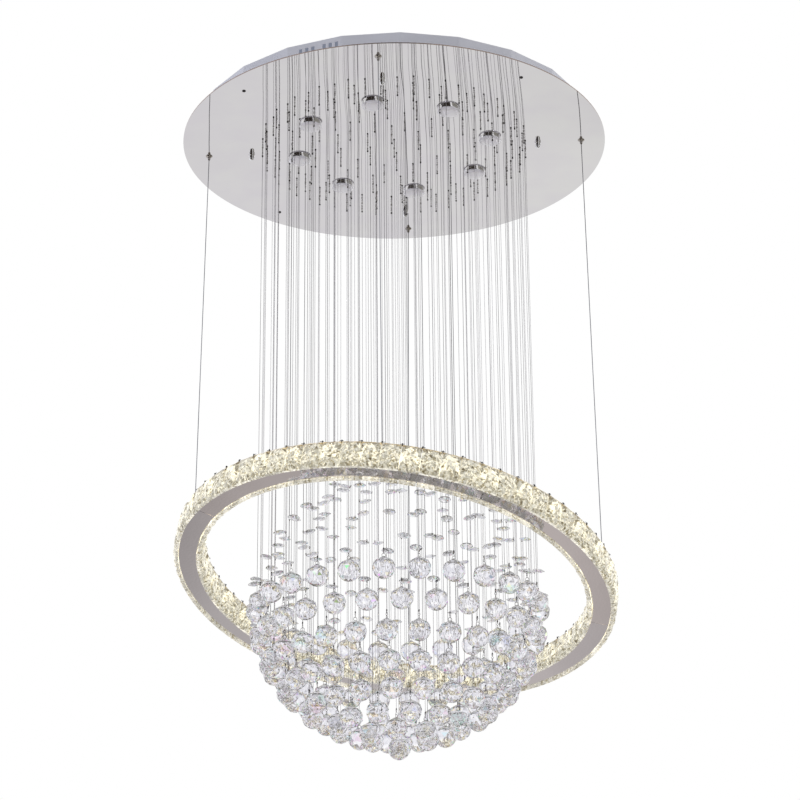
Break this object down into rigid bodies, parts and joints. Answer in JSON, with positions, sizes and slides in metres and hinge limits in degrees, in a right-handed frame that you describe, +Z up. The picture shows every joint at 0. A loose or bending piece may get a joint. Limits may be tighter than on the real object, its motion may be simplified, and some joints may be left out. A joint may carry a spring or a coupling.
{
  "type": "crystal chandelier",
  "caption": "Ceiling chandelier with a round mirror plate and downlights, crystal balls on strands in the form of a sphere, and a tilted light ring on cables.",
  "frame": {"origin": "on the ceiling, at the middle of the crossed bracket, on the axis of the mirror plate", "axes": "+Z up, away from the lamp into the ceiling; the picture looks along +Y, with +X to its right"},
  "size_m": [0.801, 0.8, 1.2275],
  "materials": {
    "white_paint": "satin",
    "mirror_steel": "mirror polished",
    "zinc_steel": "zinc plated",
    "dark_steel": "black oxide",
    "chrome": "polished",
    "lens_glass": "frosted",
    "aluminium": "anodised",
    "ring_aluminium": "satin",
    "driver_plastic": "matte",
    "terminal_plastic": "matte",
    "led_diffuser": "translucent",
    "crystal": "polished",
    "strand_line": "clear",
    "cable_steel": "stranded"
  },
  "bodies": {
    "ceiling": {"ceiling_bracket": "zinc_steel", "bracket_studs": "zinc_steel"},
    "canopy": {"canopy_pan": "white_paint", "canopy_flange": "white_paint", "mirror_plate": "mirror_steel", "plate_screws": "dark_steel", "lamp_bezels": "chrome", "lamp_lenses": "lens_glass", "lamp_modules": "aluminium", "led_driver": "driver_plastic", "terminal_block": "terminal_plastic", "cable_grippers": "chrome", "gripper_nuts": "zinc_steel", "strand_lines_1": "strand_line", "strand_lines_2": "strand_line", "strand_lines_3": "strand_line", "strand_lines_4": "strand_line", "strand_lines_5": "strand_line", "strand_lines_6": "strand_line", "strand_lines_7": "strand_line", "centre_line": "strand_line", "crystal_balls_1": "crystal", "crystal_balls_2": "crystal", "crystal_balls_3": "crystal", "crystal_balls_4": "crystal", "crystal_balls_5": "crystal", "crystal_balls_6": "crystal", "crystal_balls_7": "crystal", "centre_ball": "crystal", "octagon_beads_1": "crystal", "octagon_beads_2": "crystal", "octagon_beads_3": "crystal", "octagon_beads_4": "crystal", "octagon_beads_5": "crystal", "octagon_beads_6": "crystal", "octagon_beads_7": "crystal", "centre_bead": "crystal"},
    "cables": {"cable_right": "cable_steel", "cable_rear": "cable_steel", "cable_left": "cable_steel", "cable_front": "cable_steel"},
    "ring": {"ring_top_plate": "ring_aluminium", "ring_cover_rear": "mirror_steel", "ring_cover_front": "mirror_steel", "outer_led_strip": "led_diffuser", "inner_led_strip": "led_diffuser", "outer_crystals": "crystal", "inner_crystals": "crystal", "ring_anchors": "chrome"},
    "cap_nut_right": {"cap_nut_right": "chrome"},
    "cap_nut_rear": {"cap_nut_rear": "chrome"},
    "cap_nut_left": {"cap_nut_left": "chrome"},
    "cap_nut_front": {"cap_nut_front": "chrome"}
  },
  "joints": [
    {"name": "canopy_drop", "type": "slide", "parent": "ceiling", "child": "canopy", "axis": [0, 0, -1], "range_m": [0, 0.006]},
    {"name": "nut_turn_right", "type": "hinge", "parent": "canopy", "child": "cap_nut_right", "pos_m": [0.2722, -0.02094, -0.039], "axis": [0, 0, -1], "range_deg": [0, 2160]},
    {"name": "nut_turn_rear", "type": "hinge", "parent": "canopy", "child": "cap_nut_rear", "pos_m": [0.02094, 0.2722, -0.039], "axis": [0, 0, -1], "range_deg": [0, 2160]},
    {"name": "nut_turn_left", "type": "hinge", "parent": "canopy", "child": "cap_nut_left", "pos_m": [-0.2722, 0.02094, -0.039], "axis": [0, 0, -1], "range_deg": [0, 2160]},
    {"name": "nut_turn_front", "type": "hinge", "parent": "canopy", "child": "cap_nut_front", "pos_m": [-0.02094, -0.2722, -0.039], "axis": [0, 0, -1], "range_deg": [0, 2160]},
    {"name": "ring_height", "type": "slide", "parent": "canopy", "child": "cables", "axis": [0, 0, 1], "range_m": [0, 0.35], "deforming": ["cable_right", "cable_rear", "cable_left", "cable_front"]},
    {"name": "ring_tilt", "type": "hinge", "parent": "cables", "child": "ring", "pos_m": [-0.00502, 0.00447, -0.89774], "axis": [-0.832, 0.5548, 0], "range_deg": [-15.6, 9.4]}
  ],
  "couplings": [
    {"joint": "nut_turn_right", "follows": "canopy_drop", "rad_per_m": 6283.2},
    {"joint": "nut_turn_rear", "follows": "canopy_drop", "rad_per_m": 6283.2},
    {"joint": "nut_turn_left", "follows": "canopy_drop", "rad_per_m": 6283.2},
    {"joint": "nut_turn_front", "follows": "canopy_drop", "rad_per_m": 6283.2}
  ]
}
